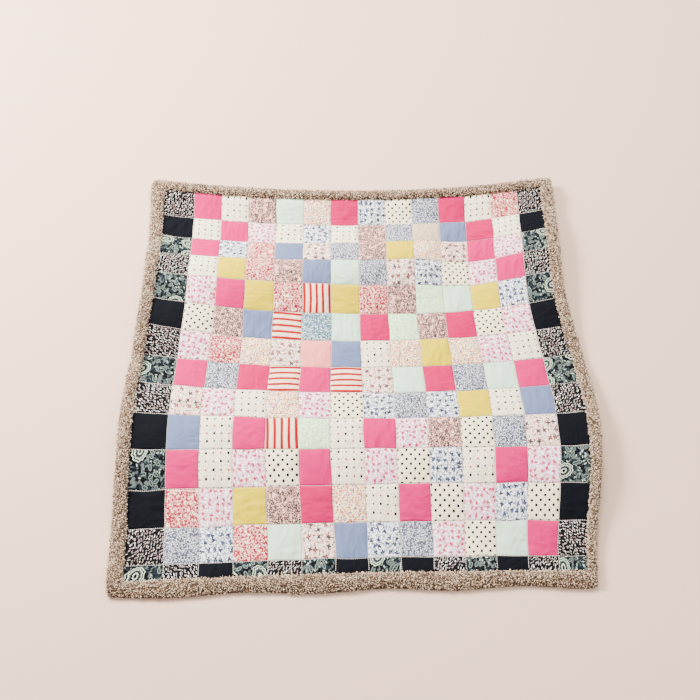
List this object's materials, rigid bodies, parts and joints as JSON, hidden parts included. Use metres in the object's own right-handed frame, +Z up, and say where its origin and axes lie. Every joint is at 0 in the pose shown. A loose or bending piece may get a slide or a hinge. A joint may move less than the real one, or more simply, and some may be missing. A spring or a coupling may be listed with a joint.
{
  "type": "patchwork quilt",
  "caption": "Padded patchwork quilt of square cotton patches with a plump curly fleece binding, laid out with soft ripples.",
  "frame": {"origin": "on the floor, under the middle of the quilt's bounding box", "axes": "+Z up through the cloth to the patchwork side, +Y towards the head edge, +X to the right seen from above"},
  "size_m": [1.4994, 1.5178, 0.067],
  "materials": {
    "patchwork_cotton": "matte printed cotton, many prints",
    "curly_fleece": "curly pile, mixed beige, brown and cream"
  },
  "bodies": {
    "root": {"quilt_panel": "patchwork_cotton", "binding_head": "curly_fleece", "binding_foot": "curly_fleece", "binding_left": "curly_fleece", "binding_right": "curly_fleece"}
  },
  "joints": []
}
